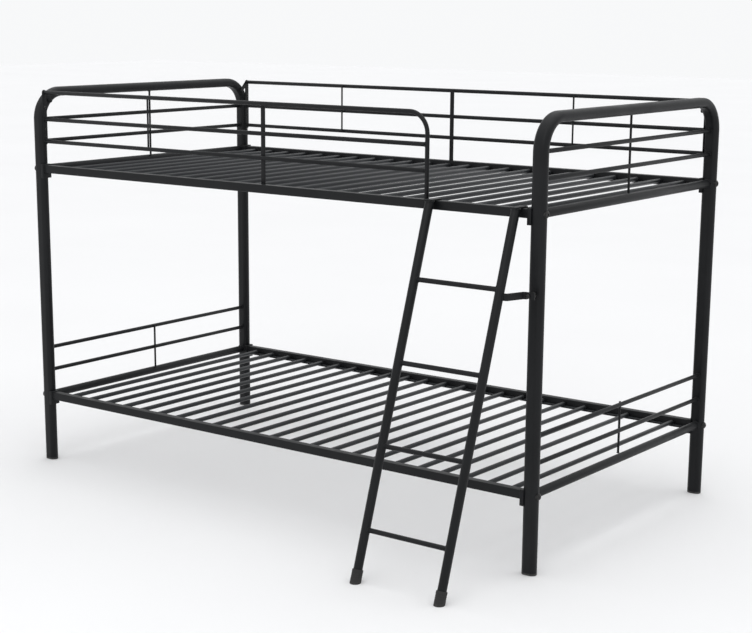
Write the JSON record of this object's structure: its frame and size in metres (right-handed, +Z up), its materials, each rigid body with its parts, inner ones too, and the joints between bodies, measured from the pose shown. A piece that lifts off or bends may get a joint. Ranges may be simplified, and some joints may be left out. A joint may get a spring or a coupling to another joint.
{
  "type": "bunk bed",
  "caption": "Low metal bunk bed for two twin mattresses, with arched tube end frames, slatted decks, guard rails and a sloping hook-on ladder.",
  "frame": {"origin": "on the floor, at the centre of the whole footprint, ladder included", "axes": "+X along the length of the bed, towards the ladder end; +Y towards the rear, away from the ladder; +Z up"},
  "size_m": [1.988, 1.3968, 1.266],
  "materials": {
    "powder_coat": "satin black powder coat with a fine orange peel",
    "slat_powder_coat": "satin charcoal powder coat",
    "black_fastener": "black oxide steel",
    "glide_plastic": "moulded black polyethylene",
    "cap_rubber": "matt black rubber"
  },
  "bodies": {
    "bed_frame": {"front_guard_left_rod": "powder_coat", "front_guard_low_bar": "powder_coat", "front_guard_mid_bar": "powder_coat", "front_guard_top_rail": "powder_coat", "front_guard_upright": "powder_coat", "ladder_stay_stud": "black_fastener", "left_end_frame_tube": "powder_coat", "left_footboard_bar_high": "powder_coat", "left_footboard_bar_low": "powder_coat", "left_footboard_upright": "powder_coat", "left_front_foot_glide": "glide_plastic", "left_guard_bar_high": "powder_coat", "left_guard_bar_low": "powder_coat", "left_guard_upright": "powder_coat", "left_lower_cross_rail": "powder_coat", "left_rear_foot_glide": "glide_plastic", "left_upper_cross_rail": "powder_coat", "lower_front_left_bolt": "black_fastener", "lower_front_rail": "powder_coat", "lower_front_right_bolt": "black_fastener", "lower_left_slat_panel": "slat_powder_coat", "lower_rear_left_bolt": "black_fastener", "lower_rear_rail": "powder_coat", "lower_rear_right_bolt": "black_fastener", "lower_right_slat_panel": "slat_powder_coat", "rear_guard_left_rod": "powder_coat", "rear_guard_low_bar": "powder_coat", "rear_guard_mid_bar": "powder_coat", "rear_guard_right_rod": "powder_coat", "rear_guard_top_rail": "powder_coat", "rear_guard_upright": "powder_coat", "right_end_frame_tube": "powder_coat", "right_footboard_bar_high": "powder_coat", "right_footboard_bar_low": "powder_coat", "right_footboard_upright": "powder_coat", "right_front_foot_glide": "glide_plastic", "right_guard_bar_high": "powder_coat", "right_guard_bar_low": "powder_coat", "right_guard_upright": "powder_coat", "right_lower_cross_rail": "powder_coat", "right_rear_foot_glide": "glide_plastic", "right_upper_cross_rail": "powder_coat", "upper_front_left_bolt": "black_fastener", "upper_front_rail": "powder_coat", "upper_front_right_bolt": "black_fastener", "upper_left_slat_panel": "slat_powder_coat", "upper_rear_left_bolt": "black_fastener", "upper_rear_rail": "powder_coat", "upper_rear_right_bolt": "black_fastener", "upper_right_slat_panel": "slat_powder_coat"},
    "ladder": {"ladder_left_foot_cap": "cap_rubber", "ladder_left_rail": "powder_coat", "ladder_right_foot_cap": "cap_rubber", "ladder_right_rail": "powder_coat", "ladder_rung_1": "powder_coat", "ladder_rung_2": "powder_coat", "ladder_rung_3": "powder_coat", "ladder_rung_4": "powder_coat", "ladder_stay": "powder_coat"}
  },
  "joints": [
    {"name": "ladder_lift_off", "type": "slide", "parent": "bed_frame", "child": "ladder", "axis": [0, 0, 1], "range_m": [0, 0.25]}
  ]
}
